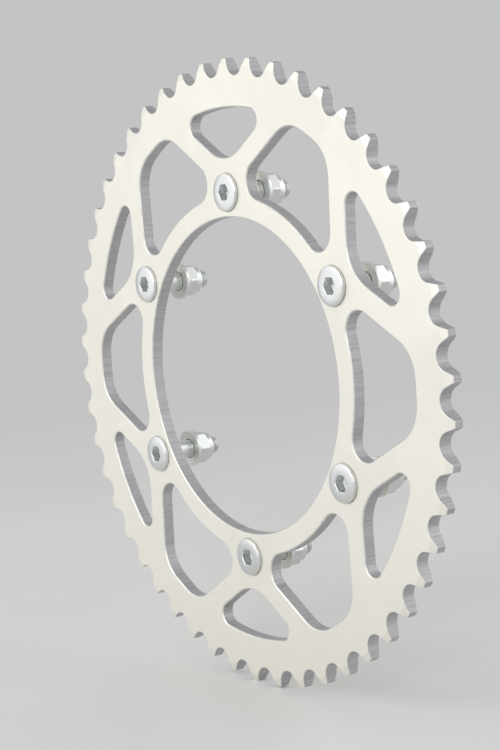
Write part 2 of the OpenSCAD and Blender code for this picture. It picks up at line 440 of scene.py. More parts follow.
def upright(points):
    """Plate axes (u, v, w) to the part's frame: X = u, Y = -w, Z = v."""
    return np.stack([points[..., 0], -points[..., 2], points[..., 1]], axis=-1)


def with_height(flat, height):
    """Flat points at a height over the seat."""
    return np.concatenate([flat, np.broadcast_to(height, flat.shape[:-1])[..., None]], axis=-1)


class Shape:
    """Points, faces, corner normals and named marks of one piece, gathered patch by patch."""

    def __init__(self, *marks):
        self.points = np.zeros((0, 3))
        self.marks = {name: np.zeros(0) for name in marks}
        self.patches = []

    def add_points(self, points, **marks):
        """Takes in an array of points and returns their numbers in its layout. A mark not given is 0."""
        layout = points.shape[:-1]
        numbers = len(self.points) + np.arange(math.prod(layout)).reshape(layout)
        self.points = np.concatenate([self.points, points.reshape(-1, 3)])
        for name, values in self.marks.items():
            new = np.broadcast_to(marks.get(name, 0.0), layout)
            self.marks[name] = np.concatenate([values, new.ravel()])
        return numbers

    def add_faces(self, corners, normals):
        """Takes in faces as point numbers, with a normal at each corner, and turns the wrong ones round."""
        spots = self.points[corners]
        facing = np.cross(spots[:, 1] - spots[:, 0], spots[:, 2] - spots[:, 0])
        wrong = (facing * normals.mean(axis=1)).sum(axis=1) < 0
        corners[wrong] = corners[wrong][:, ::-1]
        normals[wrong] = normals[wrong][:, ::-1]
        self.patches.append((corners, normals))

    def add_grid(self, points, normals, close_rows=False, **marks):
        """A grid of rows by columns that closes along its columns, and along its rows too if asked."""
        numbers = self.add_points(points, **marks)
        rows, count = numbers.shape
        i = np.arange(rows if close_rows else rows - 1)[:, None]
        j = np.arange(count)[None]
        following, beside = (i + 1) % rows, (j + 1) % count
        places = [(i, j), (i, beside), (following, beside), (following, j)]
        corners = np.stack([numbers[a, b] for a, b in places], axis=-1).reshape(-1, 4)
        turns = np.stack([normals[a, b] for a, b in places], axis=-2).reshape(-1, 4, 3)
        self.add_faces(corners, turns)
        return numbers

    def add_fan(self, ring, point, normal, **marks):
        """Closes a ring of points with triangles to one point."""
        pole = np.broadcast_to(self.add_points(point[None], **marks)[0], ring.shape)
        corners = np.stack([ring, np.roll(ring, -1), pole], axis=-1)
        self.add_faces(corners, np.broadcast_to(normal, (len(ring), 3, 3)).copy())

    def make_piece(self, name, material, body, slot, node):
        """Makes the mesh object, which rides on its body in place of its CAD node."""
        mesh = bpy.data.meshes.new(name)
        faces = sum((corners.tolist() for corners, _ in self.patches), start=[])
        normals = np.concatenate([turns.reshape(-1, 3) for _, turns in self.patches])
        mesh.from_pydata(upright(self.points).tolist(), [], faces, shade_flat=False)
        mesh.normals_split_custom_set(upright(normals).tolist())
        for key, values in self.marks.items():
            mesh.attributes.new(key, "FLOAT", "POINT").data.foreach_set("value", values)
        mesh.materials.append(material)
        made = bpy.data.objects.new(name, mesh)
        bpy.context.scene.collection.objects.link(made)
        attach(made, body)
        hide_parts(node)


def edge_profile(size, exponent, steps):
    """Section of a broken edge: the quarter superellipse a^p + b^p = 1 from the face to the wall.

    An exponent of 1 is a plain chamfer and 2 a round one. Returns the way into the plate, the depth under
    the face and the two parts of the normal, towards the open side and out of the face.
    """
    t = np.linspace(math.pi / 2, 0, steps)
    a = np.abs(np.cos(t)) ** (2 / exponent)
    b = np.abs(np.sin(t)) ** (2 / exponent)
    return size * (1 - a), size * (1 - b), unit(np.stack([a, b], axis=-1) ** (exponent - 1))


def face_bevel(plate, flat):
    """Drop of a face at flat points: none inside the bevel's circle, then in proportion up to the tip."""
    radius = np.linalg.norm(flat, axis=-1)
    return plate.bevel_depth * np.clip((radius - circles(plate).bevel) / plate.bevel_height, 0, 1)


def face_normals(plate, flat, side, bevelled):
    """Normals of the front or the back face, tilted outwards by the bevel's slope where it is bevelled."""
    slope = np.where(bevelled, plate.bevel_depth / plate.bevel_height, 0)
    return unit(with_height(unit(flat) * slope[..., None], side))


def add_wall(shape, plate, outline, size, exponent):
    """Carries the section of a wall, with a broken edge at each face, along an outline.

    The point at (i, j) is outline point j moved into the plate by the section's offset i, at the height of
    the face there less the section's depth. Returns the numbers of the points along the two faces.
    """
    points, normals = outline
    into, depth, turn = edge_profile(size, exponent, steps=6)
    rows = []
    for side, order in ((FRONT, slice(None)), (BACK, slice(None, None, -1))):
        flat = points - into[order, None, None] * normals
        drop = face_bevel(plate, flat) + depth[order, None]
        height = plate.thickness - drop if side == FRONT else drop
        bevelled = np.linalg.norm(flat, axis=-1) > circles(plate).bevel
        face = face_normals(plate, flat, side, bevelled)
        open_side = with_height(np.broadcast_to(normals, flat.shape), 0)
        normal = turn[order, 0, None, None] * open_side + turn[order, 1, None, None] * face
        rows.append((with_height(flat, height), normal, turn[order]))
    grid, turns, marks = joined(*rows)
    edge = 2 * marks[:, 0] * marks[:, 1]
    # The wall mark is the square of how far a point's normal turns to the open side; the plate's material
    # paints the walls' shade by it.
    numbers = shape.add_grid(grid, turns, edge=edge[:, None], wall=marks[:, :1] ** 2)
    return numbers[0], numbers[-1]


def add_bolt_hole(shape, plate, bolts, centre):
    """A countersunk hole: the section goes down the cone at 45 degrees and on through the plate.

    A corner of the section is a radius, a height and the mark of a wall, by which the plate's material
    paints the walls' shade.
    """
    mouth = bolts.head_radius + bolts.cone_slack
    floor = plate.thickness - (mouth - bolts.hole_radius)
    edge = plate.hole_edge
    section = [
        (mouth + edge, plate.thickness, 0),
        (mouth, plate.thickness - edge, 1),
        (bolts.hole_radius, floor, 1),
        (bolts.hole_radius, edge, 1),
        (bolts.hole_radius + edge, 0, 0),
    ]
    radius, height, wall = np.array(section).T[..., None]
    grid = with_height(centre + radius[..., None] * directions(columns()), height)
    numbers = shape.add_grid(grid, -grid_normals(grid), wall=wall)
    return numbers[0], numbers[-1]


def inside(points, starts, ends):
    """Even-odd rule: a point lies inside where a line to its right crosses an odd number of the edges."""
    x, y = points[:, :1], points[:, 1:]
    spans = (starts[:, 1] > y) != (ends[:, 1] > y)
    rise = np.where(ends[:, 1] == starts[:, 1], 1, ends[:, 1] - starts[:, 1])
    crossing = starts[:, 0] + (y - starts[:, 1]) / rise * (ends[:, 0] - starts[:, 0])
    return (spans & (crossing > x)).sum(axis=1) % 2 == 1


def add_crease(shape, plate, teeth_rim, height):
    """Lays an arc of the bevel's circle across each tooth, from flank to flank, and returns its points."""
    bevel = circles(plate).bevel
    radius = np.linalg.norm(shape.points[teeth_rim][:, :2], axis=-1)
    flanks = teeth_rim[np.abs(radius - bevel) < SAME_POINT]
    ends = np.roll(flanks, -1).reshape(-1, 2)
    headings = np.arctan2(shape.points[ends][..., 1], shape.points[ends][..., 0])
    first, last = headings[:, :1], headings[:, 1:]
    pieces = 4
    between = np.arange(1, pieces) / pieces
    arcs = bevel * directions(first + short_way(first, last) * between)
    middle = shape.add_points(with_height(arcs, height))
    return np.concatenate([ends[:, :1], middle, ends[:, 1:]], axis=1)


def add_face(shape, plate, rims, side):
    """Fills a face of the plate between its rims, the teeth's first, with triangles.

    The triangles are the constrained Delaunay ones of the rims and of a crease at the foot of each tooth's
    bevel, so that none crosses the crease. Those in the openings are left out.
    """
    crease = add_crease(shape, plate, rims[0], plate.thickness if side == FRONT else 0.0)
    borders = np.concatenate([np.stack([rim, np.roll(rim, -1)], axis=-1) for rim in rims])
    folds = np.stack([crease[:, :-1], crease[:, 1:]], axis=-1).reshape(-1, 2)
    numbers, lines = np.unique(np.concatenate([borders, folds]), return_inverse=True)
    flat = shape.points[:, :2]
    inside_only = 1
    _, _, corners, sources, *_ = geometry.delaunay_2d_cdt(
        flat[numbers].tolist(), lines.reshape(-1, 2).tolist(), [], inside_only, SAME_POINT
    )
    first_sources, *_ = zip(*sources)
    triangles = numbers[np.array(first_sources)[np.array(corners)]]
    middles = flat[triangles].mean(axis=1)
    solid = inside(middles, flat[borders[:, 0]], flat[borders[:, 1]])
    triangles, middles = triangles[solid], middles[solid]
    past_crease = np.linalg.norm(middles, axis=-1)[:, None] > circles(plate).bevel
    bevelled = np.broadcast_to(past_crease, triangles.shape)
    shape.add_faces(triangles, face_normals(plate, flat[triangles], side, bevelled))


def plate_shape(plate, bolts):
    """The toothed plate: walls along every outline and the two faces between them."""
    shape = Shape("edge", "wall")
    step = TURN / bolts.count
    places = step * np.arange(bolts.count)
    chamfer, round_edge = 1.25, 1.7
    bore = circle(plate.bore_radius, steps=240, open_side=INSIDE)
    outlines = [(tooth_outline(plate), plate.tooth_edge, round_edge), (bore, plate.bore_edge, chamfer)]
    for cut_out, first in ((small_cut_out, 0), (large_cut_out, step / 2)):
        points, normals = copies(cut_out(plate, bolts), places + first)
        outlines += [(distinct(pair), plate.window_edge, chamfer) for pair in zip(points, normals)]
    rims = [add_wall(shape, plate, *outline) for outline in outlines]
    for place in places:
        rims.append(add_bolt_hole(shape, plate, bolts, bolts.circle * turned(UP, place)))
    front_rims, back_rims = zip(*rims)
    add_face(shape, plate, front_rims, FRONT)
    add_face(shape, plate, back_rims, BACK)
    return shape


def grid_normals(points, close_rows=False):
    """Unit normals of a turned grid: the cross product of its central differences along rows and columns."""
    around = np.roll(points, -1, axis=1) - np.roll(points, 1, axis=1)
    along = np.gradient(points, axis=0)
    if close_rows:
        along = np.roll(points, -1, axis=0) - np.roll(points, 1, axis=0)
    return unit(np.cross(along, around))


def hexagon(t):
    """Radius of a hexagon one unit from its middle to its flats, with soft corners, one of them at angle 0.

    r = (sum of cos(t - k)^p over the six flats that face t)^(-1/p).
    """
    exponent, sides = 90, 6
    flats = TURN / sides * (np.arange(sides) + 0.5)
    facing = np.maximum(np.cos(t[:, None] - flats), 0)
    return (facing**exponent).sum(axis=1) ** (-1 / exponent)


def corners_of(t, *places):
    """Corner rows of a turned section. A place is a radius and a height, each a number or one a column."""
    rows = [np.stack(np.broadcast_arrays(radius, height, t)[:2], axis=-1) for radius, height in places]
    return np.stack(rows)


def softened(corners, size, close_rows=False):
    """Rounds the corner rows of a section.

    Each corner becomes the curve (1-t)^2 a + 2 t (1-t) corner + t^2 b, where a and b lie on the two sides
    next to it, the given size away or not quite halfway along a short side. The first and last rows of an
    open section stay. Returns the rows and a mark from 0 to 1 that is highest on the rounding.
    """
    steps, most_of_side = 5, 0.45
    t = np.linspace(0, 1, steps)[:, None, None]
    sizes = np.broadcast_to(size, len(corners))[:, None, None]
    sides = []
    for shift in (1, -1):
        towards = np.roll(corners, shift, axis=0) - corners
        far = np.maximum(np.linalg.norm(towards, axis=-1, keepdims=True), SAME_POINT)
        sides.append(corners + towards / far * np.minimum(sizes, most_of_side * far))
    before, after = sides
    curve = (1 - t) ** 2 * before[:, None] + 2 * t * (1 - t) * corners[:, None] + t**2 * after[:, None]
    marks = np.broadcast_to((4 * t * (1 - t))[:, 0, 0], (len(corners), steps))
    if close_rows:
        return curve.reshape(-1, *corners.shape[1:]), marks.reshape(-1)
    rows = np.concatenate([corners[:1], curve[1:-1].reshape(-1, *corners.shape[1:]), corners[-1:]])
    return rows, np.concatenate([[0], marks[1:-1].reshape(-1), [0]])


def plain(rows):
    """Rows of a section as they are, with no edge to mark."""
    return rows, np.zeros(len(rows))


def way_along(section):
    """Length of a section from its first row to each of its rows, measured in the first column."""
    steps = np.linalg.norm(np.diff(section[:, 0], axis=0), axis=-1)
    return np.concatenate([[0], np.cumsum(steps)])[:, None]


def stood_round(section, centre, t):
    """Rows of (radius, height) set round an axis: centre + radius (cos t, sin t), at that height."""
    return with_height(centre + section[..., :1] * directions(t), section[..., 1])


def thread_radius(bolts, t, height):
    """Radius of the bolt's right-handed thread at angles t and heights over the seat.

    The phase is height / pitch - t / turn. A wave of that phase, cut off at the crests and the roots, is the
    groove, which fades in over the first pitch and is cut by the chamfer at the end of the bolt.
    """
    root_depth, crest_share, root_share = 0.6134, 0.875, 0.25
    pitch = bolts.thread_pitch
    wave = np.abs(2 * ((height / pitch - t / TURN) % 1) - 1)
    groove = np.clip((crest_share - wave) / (crest_share - root_share), 0, 1)
    fade = np.clip((-height - bolts.thread_start) / pitch, 0, 1)
    radius = bolts.thread_radius - root_depth * pitch * fade * (0.5 - 0.5 * np.cos(math.pi * groove))
    cone = bolts.thread_radius - bolts.end_chamfer + (height + bolts.end)
    return np.minimum(radius, cone)


def thread_section(bolts, t, top, bottom, slack=0.0):
    """Rows of a thread between two heights, wider than the bolt's own by the slack."""
    rows_a_pitch = 12
    count = max(2, round(abs(top - bottom) / bolts.thread_pitch * rows_a_pitch) + 1)
    height = np.broadcast_to(np.linspace(top, bottom, count)[:, None], (count, len(t)))
    return np.stack([thread_radius(bolts, t, height) + slack, height], axis=-1)


def bolt_section(plate, bolts, t):
    """Section of a countersunk bolt, from the bottom of its hex socket to the end of its thread.

    Between the socket and the rim, the top of the head falls by the square of the way across.
    """
    flat = bolts.socket_width / 2
    six = flat * hexagon(t)
    top, floor = bolts.head_top, bolts.head_top - bolts.socket_depth
    behind, start, end = -bolts.shoulder_past, -bolts.thread_start, -bolts.end
    cone_end = plate.thickness - (bolts.head_radius - bolts.shoulder_radius)
    neck_end = behind - (bolts.shoulder_radius - bolts.shank_radius)
    crown_start = six.max() + 2 * bolts.socket_mouth
    ways_across = (0.0, 0.15, 0.3, 0.45, 0.6, 1.0)
    first, *crown, last, rim = [
        (crown_start + way * (bolts.head_radius - crown_start), top - way**2 * bolts.head_crown)
        for way in ways_across
    ]
    socket = corners_of(
        t,
        (flat / 2, floor - bolts.drill_point / 2),
        (six, floor),
        (six, top - bolts.socket_mouth),
        (six + bolts.socket_mouth, top),
        first,
    )
    outside = corners_of(
        t,
        last,
        rim,
        (bolts.head_radius, plate.thickness),
        (bolts.shoulder_radius, cone_end),
        (bolts.shoulder_radius, behind),
        (bolts.shank_radius, neck_end),
        (bolts.shank_radius, start),
    )
    rim_row = 1
    sizes = np.full(len(outside), bolts.edge)
    sizes[rim_row] = bolts.head_round
    thread_after_shank = thread_section(bolts, t, start, end)[1:]
    tip = bolts.thread_radius - bolts.end_chamfer
    end_face, dimple = 0.92 * tip, 0.4 * tip
    return joined(
        softened(socket, bolts.edge),
        plain(corners_of(t, *crown)),
        softened(outside, sizes),
        plain(thread_after_shank),
        plain(corners_of(t, (end_face, end), (dimple, end + bolts.edge))),
    )


def bolt_shape(plate, bolts, centre):
    """A bolt as one turned surface, closed by a cone in its socket and a dimpled face at its end."""
    t = columns()
    section, marks = bolt_section(plate, bolts, t)
    points = stood_round(section, centre, t)
    way = way_along(section)
    first, last = section[[0, -1], 0, 0]
    cone_point = with_height(centre, bolts.head_top - bolts.socket_depth - bolts.drill_point)
    end_point = with_height(centre, -bolts.end + bolts.edge)
    shape = Shape("edge", "along")
    numbers = shape.add_grid(points, grid_normals(points), edge=marks[:, None], along=way)
    shape.add_fan(numbers[0], cone_point, OUTWARD, along=way[0] - first)
    shape.add_fan(numbers[-1], end_point, -OUTWARD, along=way[-1] + last)
    return shape


def ring_shape(section, marks, centre, t):
    """A turned piece whose section closes on itself."""
    points = stood_round(section, centre, t)
    shape = Shape("edge", "along")
    normals = grid_normals(points, close_rows=True)
    shape.add_grid(points, normals, close_rows=True, edge=marks[:, None], along=way_along(section))
    return shape


def washer_shape(nuts, centre):
    """A stamped washer: its section is a flat rectangle with round corners."""
    t = columns()
    near, far = -nuts.washer_near, -nuts.washer_far
    corners = corners_of(
        t,
        (nuts.washer_hole, near),
        (nuts.washer_radius, near),
        (nuts.washer_radius, far),
        (nuts.washer_hole, far),
    )
    return ring_shape(*softened(corners, nuts.washer_edge, close_rows=True), centre, t)


def nut_shape(nuts, bolts, centre):
    """A locking nut: hexagon with chamfered corners, rolled collar, groove for the nylon ring and thread.

    The chamfer is a cone: a column of the hexagon ends short of the face by (its radius - inset) tan(slope).
    """
    t = columns()
    flat = nuts.flats / 2
    six = flat * hexagon(t)
    inset = flat - nuts.chamfer_inset
    slope = (six - inset) * math.tan(nuts.chamfer_angle)
    near, far = -nuts.near, -nuts.far
    hex_end = far + nuts.collar_height
    collar = flat - nuts.collar_wall / 2
    groove = nuts.ring_radius + nuts.ring_slack
    lip = groove - nuts.collar_wall
    groove_end, groove_top = -nuts.ring_far - nuts.ring_slack, -nuts.ring_near + nuts.ring_slack
    mouth_end = near - (nuts.mouth_radius - bolts.thread_radius)
    corners = corners_of(
        t,
        (nuts.mouth_radius, near),
        (inset, near),
        (six, near - slope),
        (six, hex_end + slope),
        (inset, hex_end),
        (collar, hex_end - nuts.edge),
        (collar, far),
        (lip, far),
        (lip, groove_end),
        (groove, groove_end),
        (groove, groove_top),
        (bolts.thread_radius, groove_top),
    )
    rolled_row = 6
    sizes = np.full(len(corners), nuts.edge)
    sizes[rolled_row] = nuts.collar_round
    thread = thread_section(bolts, t, groove_top + nuts.edge, mouth_end, nuts.thread_slack)
    return ring_shape(*joined(softened(corners, sizes), plain(thread)), centre, t)


def nylon_shape(nuts, bolts, centre):
    """The nylon ring of a nut, into which the bolt's thread has pressed its own form."""
    t = columns()
    near, far = -nuts.ring_near, -nuts.ring_far
    edge = nuts.edge
    crest = bolts.thread_radius + nuts.ring_slack
    corners = corners_of(
        t,
        (crest, near),
        (nuts.ring_radius, near),
        (nuts.ring_radius, far),
        (crest + edge, far),
        (crest, far + edge),
    )
    thread = thread_section(bolts, t, far + 2 * edge, near - edge, nuts.ring_slack)
    return ring_shape(*joined(softened(corners, edge), plain(thread)), centre, t)


def give(tree, socket, value):
    """Links a socket to another, or sets its own value."""
    if isinstance(value, bpy.types.NodeSocket):
        tree.links.new(value, socket)
    else:
        socket.default_value = value


def give_all(tree, node, **inputs):
    """Gives each named input a number, a colour or another socket. A name has _ for a space."""
    for key, value in inputs.items():
        give(tree, node.inputs[key.replace("_", " ")], value)


def add_node(tree, kind, settings=None, **inputs):
    """A shader node with its settings and inputs."""
    made = tree.nodes.new(kind)
    for key, value in (settings or {}).items():
        setattr(made, key, value)
    give_all(tree, made, **inputs)
    return made


def calculate(tree, operation, first, second):
    """A Math node's result."""
    made = tree.nodes.new("ShaderNodeMath")
    made.operation = operation
    give(tree, made.inputs[0], first)
    give(tree, made.inputs[1], second)
    return made.outputs[0]


def times(tree, first, second):
    """The product of two values."""
    return calculate(tree, "MULTIPLY", first, second)


def varied(tree, base, *parts):
    """A number plus each changing part times its weight."""
    total = base
    for value, weight in parts:
        total = calculate(tree, "ADD", times(tree, value, weight), total)
    return total


def mix_colours(tree, factor, first, second):
    """A Mix node's colour."""
    made = tree.nodes.new("ShaderNodeMix")
    made.data_type = "RGBA"
    by_name = {socket.identifier: socket for socket in made.inputs}
    give(tree, by_name["Factor_Float"], factor)
    give(tree, by_name["A_Color"], first)
    give(tree, by_name["B_Color"], second)
    return next(socket for socket in made.outputs if socket.identifier == "Result_Color")


def smooth_step(tree, value, span, to=(0.0, 1.0)):
    """A value eased from one range to another."""
    made = add_node(
        tree,
        "ShaderNodeMapRange",
        {"interpolation_type": "SMOOTHSTEP"},
        Value=value,
        From_Min=span[0],
        From_Max=span[1],
        To_Min=to[0],
        To_Max=to[1],
    )
    return made.outputs["Result"]


def noise(tree, place, scale, detail, roughness=0.5, distortion=0.0):
    """A noise from 0 to 1, mostly about a half."""
    made = add_node(
        tree,
        "ShaderNodeTexNoise",
        Vector=place,
        Scale=scale,
        Detail=detail,
        Roughness=roughness,
        Distortion=distortion,
    )
    return made.outputs["Fac"]


def stretched(tree, place, scale, rotation=(0.0, 0.0, 0.0)):
    """Coordinates turned, and scaled along each axis."""
    made = add_node(tree, "ShaderNodeMapping", Vector=place, Rotation=rotation, Scale=scale)
    return made.outputs["Vector"]


def distance(tree, place):
    """Distance of a place from the origin."""
    return add_node(tree, "ShaderNodeVectorMath", {"operation": "LENGTH"}, Vector=place).outputs["Value"]


def opaque(rgb):
    """A colour with full alpha."""
    return (*rgb, 1.0)


def effect(tree, build, **inputs):
    """Places a shared effect in a material with the material's own values, and returns its outputs.

    An effect is a node group, named for the function that builds it when it is first placed. That function
    gets the group's tree and inputs, and returns its outputs by name.
    """
    name = build.__name__.replace("_", " ").title()
    if name not in bpy.data.node_groups:
        group = bpy.data.node_groups.new(name, "ShaderNodeTree")
        for socket in inputs:
            kind = "NodeSocketVector" if socket == "Vector" else "NodeSocketFloat"
            group.interface.new_socket(socket, in_out="INPUT", socket_type=kind)
        results = build(group, group.nodes.new("NodeGroupInput").outputs)
        for socket in results:
            group.interface.new_socket(socket, in_out="OUTPUT", socket_type="NodeSocketFloat")
        add_node(group, "NodeGroupOutput", **results)
    return add_node(tree, "ShaderNodeGroup", {"node_tree": bpy.data.node_groups[name]}, **inputs).outputs


def fine_grain(tree, given):
    """An even blasted grain for bump, and a wider one for gloss."""
    coarser = 0.12
    wide_scale = times(tree, given["Scale"], coarser)
    return {
        "Height": noise(tree, given["Vector"], given["Scale"], detail=3.0, roughness=0.6),
        "Gloss": noise(tree, given["Vector"], wide_scale, detail=4.0, roughness=0.65),
    }


def handling_marks(tree, given):
    """Soft patches where hands and cloths have changed the gloss, and thin scuffs."""
    patch = noise(tree, given["Vector"], given["Scale"], detail=4.0, roughness=0.55, distortion=0.8)
    finer = 3.0
    drawn_out = stretched(tree, given["Vector"], scale=(1.0, 1.0, 14.0), rotation=(0.3, 0.7, 0.4))
    scuff = noise(tree, drawn_out, times(tree, given["Scale"], finer), detail=5.0, roughness=0.7)
    return {
        "Patches": smooth_step(tree, patch, span=(0.38, 0.66)),
        "Scuffs": smooth_step(tree, scuff, span=(0.62, 0.78)),
    }


def edge_wear(tree, given):
    """The edge mark, broken up by noise, where a finish is rubbed bright."""
    patchy = noise(tree, given["Vector"], given["Scale"], detail=4.0, roughness=0.6)
    uneven = times(tree, given["Edge"], smooth_step(tree, patchy, span=(0.3, 0.6), to=(0.35, 1.0)))
    return {"Wear": smooth_step(tree, uneven, span=(0.1, 0.8))}


def turned_lines(tree, given):
    """Fine rings left by a lathe: a noise of one distance, which fades in and out along its way."""
    rings = add_node(
        tree,
        "ShaderNodeTexNoise",
        {"noise_dimensions": "1D"},
        W=given["Distance"],
        Scale=given["Scale"],
        Detail=3.0,
        Roughness=0.7,
    ).outputs["Fac"]
    uneven = noise(tree, given["Vector"], scale=90.0, detail=2.0)
    return {"Lines": times(tree, rings, smooth_step(tree, uneven, span=(0.3, 0.7), to=(0.4, 1.0)))}


def mark(tree, name):
    """A mark that a piece carries on its points."""
    return add_node(tree, "ShaderNodeAttribute", {"attribute_name": name}).outputs["Fac"]


def new_material(name):
    """A material with its tree, its shader and the piece's own coordinates."""
    material = bpy.data.materials.new(name)
    material.use_nodes = True
    tree = material.node_tree
    shader = tree.nodes["Principled BSDF"]
    place = tree.nodes.new("ShaderNodeTexCoord").outputs["Object"]
    return material, tree, shader, place


def bump(tree, height, depth):
    """Normals of a surface whose height goes from 0 to 1 over that depth in metres."""
    return add_node(tree, "ShaderNodeBump", Height=height, Distance=depth).outputs["Normal"]


def plate_material(finish):
    """Pale anodised aluminium: blasted faces, milled walls with cutter marks under a painted grey that
    stands in for their shade, and burnished edges.
    """
    material, tree, shader, place = new_material("anodised_plate")
    # The wall colour is painted shade: a darker, bluish grey in place of the shade and dark reflections on
    # the sideways walls. The tarnish also clouds the faces towards it.
    face, wall_shade_and_tarnish_grey, bright = opaque(finish.face), opaque(finish.wall), opaque(finish.bright)
    wall = mark(tree, "wall")
    grain = effect(tree, fine_grain, Vector=place, Scale=5500.0)
    marks = effect(tree, handling_marks, Vector=place, Scale=24.0)
    wear = effect(tree, edge_wear, Vector=place, Edge=mark(tree, "edge"), Scale=260.0)["Wear"]
    radius = distance(tree, stretched(tree, place, scale=(1.0, 0.0, 1.0)))
    lines = effect(tree, turned_lines, Vector=place, Distance=radius, Scale=2200.0)["Lines"]
    across_plate = stretched(tree, place, scale=(1.0, 0.03, 1.0))
    cutter = noise(tree, across_plate, scale=1100.0, detail=4.0, roughness=0.6)

    patch_tarnish, line_tarnish, worn_share = 0.07, 0.10, 0.6
    tarnish = varied(tree, 0.0, (marks["Patches"], patch_tarnish), (lines, line_tarnish))
    clouded = mix_colours(tree, tarnish, face, wall_shade_and_tarnish_grey)
    streaked_wall_shade = mix_colours(tree, smooth_step(tree, cutter, span=(0.3, 0.7), to=(0.0, 0.25)), wall_shade_and_tarnish_grey, bright)
    # Painted shade: the wall mark gives the walls the streaked grey in place of their shade.
    body = mix_colours(tree, wall, clouded, streaked_wall_shade)
    shaded = mix_colours(tree, times(tree, wear, worn_share), body, bright)

    grain_rough, patch_rough, wear_rough = 0.16, 0.07, -0.12
    rough = varied(
        tree,
        finish.plate_roughness,
        (grain["Gloss"], grain_rough),
        (marks["Patches"], patch_rough),
        (wear, wear_rough),
    )

    cutter_height, grain_height, line_height = 2.4, 1.0, 0.5
    relief = varied(
        tree,
        0.0,
        (times(tree, wall, cutter), cutter_height),
        (grain["Height"], grain_height),
        (lines, line_height),
    )
    normal = bump(tree, relief, depth=0.000018)
    give_all(tree, shader, Base_Color=shaded, Roughness=rough, Metallic=0.75, Normal=normal)
    return material


def zinc_material(name, finish, patch_scale):
    """Bright zinc plate on steel, with a faint tint in patches and rubbed edges."""
    material, tree, shader, place = new_material(name)
    zinc, tint, bright = opaque(finish.zinc), opaque(finish.zinc_tint), opaque(finish.bright)
    grain = effect(tree, fine_grain, Vector=place, Scale=3200.0)
    marks = effect(tree, handling_marks, Vector=place, Scale=patch_scale)
    wear = effect(tree, edge_wear, Vector=place, Edge=mark(tree, "edge"), Scale=500.0)["Wear"]
    lines = effect(tree, turned_lines, Vector=place, Distance=mark(tree, "along"), Scale=5000.0)["Lines"]

    worn_share = 0.5
    tinted = mix_colours(tree, marks["Patches"], zinc, tint)
    shaded = mix_colours(tree, times(tree, wear, worn_share), tinted, bright)

    grain_rough, scuff_rough, wear_rough = 0.14, 0.10, -0.05
    rough = varied(
        tree,
        finish.zinc_roughness,
        (grain["Gloss"], grain_rough),
        (marks["Scuffs"], scuff_rough),
        (wear, wear_rough),
    )

    grain_height, line_height = 1.0, 0.6
    relief = varied(tree, 0.0, (grain["Height"], grain_height), (lines, line_height))
    normal = bump(tree, relief, depth=0.000008)
    give_all(tree, shader, Base_Color=shaded, Roughness=rough, Metallic=1.0, Normal=normal)
    return material


def nylon_material(finish):
    """Natural nylon: milky, a little uneven and half matt."""
    material, tree, shader, place = new_material("natural_nylon")
    grain = effect(tree, fine_grain, Vector=place, Scale=1800.0)
    marks = effect(tree, handling_marks, Vector=place, Scale=220.0)
    darkening = 0.88
    darker = opaque(darkening * np.array(finish.nylon))
    milky = mix_colours(tree, marks["Patches"], opaque(finish.nylon), darker)
    rough = smooth_step(tree, grain["Gloss"], span=(0.3, 0.7), to=(0.42, 0.55))
    normal = bump(tree, grain["Height"], depth=0.00001)
    give_all(tree, shader, Base_Color=milky, Roughness=rough, Normal=normal)
    return material


def floor_material(finish):
    """Pale painted floor with a faint mottle, which fades into the backdrop away from the piece."""
    material, tree, shader, place = new_material("pale_floor")
    mottle = smooth_step(tree, noise(tree, place, scale=7.0, detail=4.0), span=(0.3, 0.7))
    lightening = 1.03
    paler = opaque(lightening * np.array(finish.floor))
    painted = mix_colours(tree, mottle, opaque(finish.floor), paler)
    fade_start, fade_end = 0.3, 1.3
    faded = smooth_step(tree, distance(tree, place), span=(fade_start, fade_end), to=(1.0, 0.0))
    give_all(tree, shader, Base_Color=painted, Alpha=faded, Roughness=0.7, Specular_IOR_Level=0.2)
    return material


def bolt_places(bolts):
    """Number and axis of each bolt, counted clockwise from the top."""
    return [(k + 1, bolts.circle * turned(UP, -TURN / bolts.count * k)) for k in range(bolts.count)]


class SPROCKET_OT_plate(bpy.types.Operator):
    """Build the toothed plate"""

    bl_idname = "sprocket.plate"
    bl_label = "Toothed Plate"

    def execute(self, context):
        scene = context.scene
        material = plate_material(scene.sprocket_finish)
        shape = plate_shape(scene.sprocket_plate, scene.sprocket_bolts)
        shape.make_piece("toothed_plate", material, body="sprocket", slot="sprocket", node="sprocket")
        return {"FINISHED"}


class SPROCKET_OT_bolts(bpy.types.Operator):
    """Build the countersunk bolts"""

    bl_idname = "sprocket.bolts"
    bl_label = "Bolts"

    def execute(self, context):
        scene = context.scene
        material = zinc_material("zinc_bolt", scene.sprocket_finish, patch_scale=150.0)
        for k, centre in bolt_places(scene.sprocket_bolts):
            shape = bolt_shape(scene.sprocket_plate, scene.sprocket_bolts, centre)
            shape.make_piece(f"fixing_bolt_{k}", material, body="sprocket", slot="bolt", node=f"bolt_{k}")
        return {"FINISHED"}


class SPROCKET_OT_washers(bpy.types.Operator):
    """Build the washers"""

    bl_idname = "sprocket.washers"
    bl_label = "Washers"

    def execute(self, context):
        scene = context.scene
        material = zinc_material("zinc_washer", scene.sprocket_finish, patch_scale=190.0)
        for k, centre in bolt_places(scene.sprocket_bolts):
            shape = washer_shape(scene.sprocket_nuts, centre)
            shape.make_piece(
                f"flat_washer_{k}", material, body=f"washer_{k}", slot="washer", node=f"washer_{k}"
            )
        return {"FINISHED"}


class SPROCKET_OT_nuts(bpy.types.Operator):
    """Build the locking nuts"""

    bl_idname = "sprocket.nuts"
    bl_label = "Locking Nuts"

    def execute(self, context):
        scene = context.scene
        material = zinc_material("zinc_nut", scene.sprocket_finish, patch_scale=170.0)
        for k, centre in bolt_places(scene.sprocket_bolts):
            shape = nut_shape(scene.sprocket_nuts, scene.sprocket_bolts, centre)
            shape.make_piece(f"locking_nut_{k}", material, body=f"nut_{k}", slot="nut", node=f"nut_{k}")
        return {"FINISHED"}


